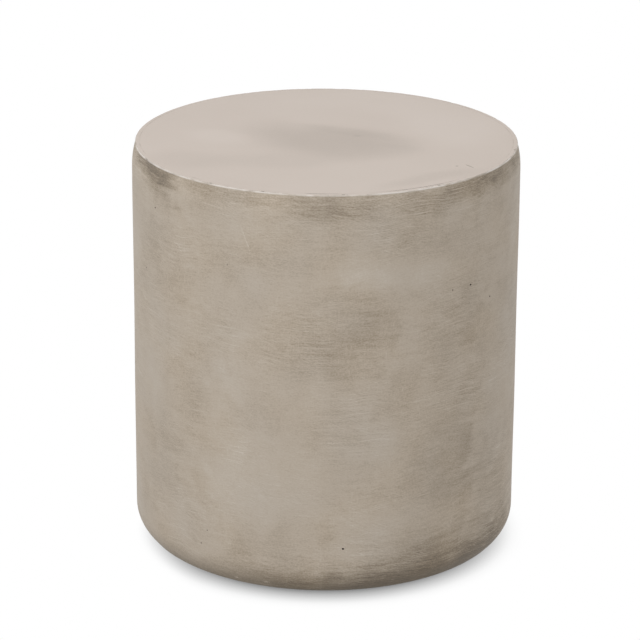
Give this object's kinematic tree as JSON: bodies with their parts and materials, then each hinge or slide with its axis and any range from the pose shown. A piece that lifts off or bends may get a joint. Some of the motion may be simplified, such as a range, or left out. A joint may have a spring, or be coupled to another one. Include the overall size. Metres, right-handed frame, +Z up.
{
  "type": "side table",
  "caption": "Round drum side table for outdoors: a hollow fibre-concrete wall, open underneath, with a slab bedded into its rim and screw-adjusted feet sunk in its base",
  "frame": {"origin": "on the floor under the middle of the drum, with the feet screwed right in", "axes": "+Z up along the drum's axis, +X to the right and +Y away from the viewer in the picture"},
  "size_m": [0.42, 0.4198, 0.453],
  "materials": {
    "wall_concrete": "matte",
    "top_concrete": "satin",
    "cement_grout": "matte",
    "glass_fibre_net": "matte",
    "insert_brass": "satin",
    "stem_steel": "satin",
    "pad_nylon": "matte",
    "sole_rubber": "matte"
  },
  "bodies": {
    "drum": {"drum_wall": "wall_concrete", "table_top": "top_concrete", "top_grout": "cement_grout", "top_net": "glass_fibre_net", "foot_insert_1": "insert_brass", "foot_insert_2": "insert_brass", "foot_insert_3": "insert_brass", "foot_insert_4": "insert_brass"},
    "foot_1": {"foot_pad_1": "pad_nylon", "foot_sole_1": "sole_rubber"},
    "screw_1": {"foot_stem_1": "stem_steel"},
    "foot_2": {"foot_pad_2": "pad_nylon", "foot_sole_2": "sole_rubber"},
    "screw_2": {"foot_stem_2": "stem_steel"},
    "foot_3": {"foot_pad_3": "pad_nylon", "foot_sole_3": "sole_rubber"},
    "screw_3": {"foot_stem_3": "stem_steel"},
    "foot_4": {"foot_pad_4": "pad_nylon", "foot_sole_4": "sole_rubber"},
    "screw_4": {"foot_stem_4": "stem_steel"}
  },
  "joints": [
    {"name": "foot_1_height", "type": "slide", "parent": "drum", "child": "foot_1", "axis": [0, 0, -1], "range_m": [0, 0.01]},
    {"name": "foot_1_turn", "type": "hinge", "parent": "foot_1", "child": "screw_1", "pos_m": [0.10253, 0.10253, 0.01], "axis": [0, 0, -1], "range_deg": [0, 2880]},
    {"name": "foot_2_height", "type": "slide", "parent": "drum", "child": "foot_2", "axis": [0, 0, -1], "range_m": [0, 0.01]},
    {"name": "foot_2_turn", "type": "hinge", "parent": "foot_2", "child": "screw_2", "pos_m": [-0.10253, 0.10253, 0.01], "axis": [0, 0, -1], "range_deg": [0, 2880]},
    {"name": "foot_3_height", "type": "slide", "parent": "drum", "child": "foot_3", "axis": [0, 0, -1], "range_m": [0, 0.01]},
    {"name": "foot_3_turn", "type": "hinge", "parent": "foot_3", "child": "screw_3", "pos_m": [-0.10253, -0.10253, 0.01], "axis": [0, 0, -1], "range_deg": [0, 2880]},
    {"name": "foot_4_height", "type": "slide", "parent": "drum", "child": "foot_4", "axis": [0, 0, -1], "range_m": [0, 0.01]},
    {"name": "foot_4_turn", "type": "hinge", "parent": "foot_4", "child": "screw_4", "pos_m": [0.10253, -0.10253, 0.01], "axis": [0, 0, -1], "range_deg": [0, 2880]}
  ],
  "couplings": [
    {"joint": "foot_1_height", "follows": "foot_1_turn", "m_per_rad": 0.00019894},
    {"joint": "foot_2_height", "follows": "foot_2_turn", "m_per_rad": 0.00019894},
    {"joint": "foot_3_height", "follows": "foot_3_turn", "m_per_rad": 0.00019894},
    {"joint": "foot_4_height", "follows": "foot_4_turn", "m_per_rad": 0.00019894}
  ]
}
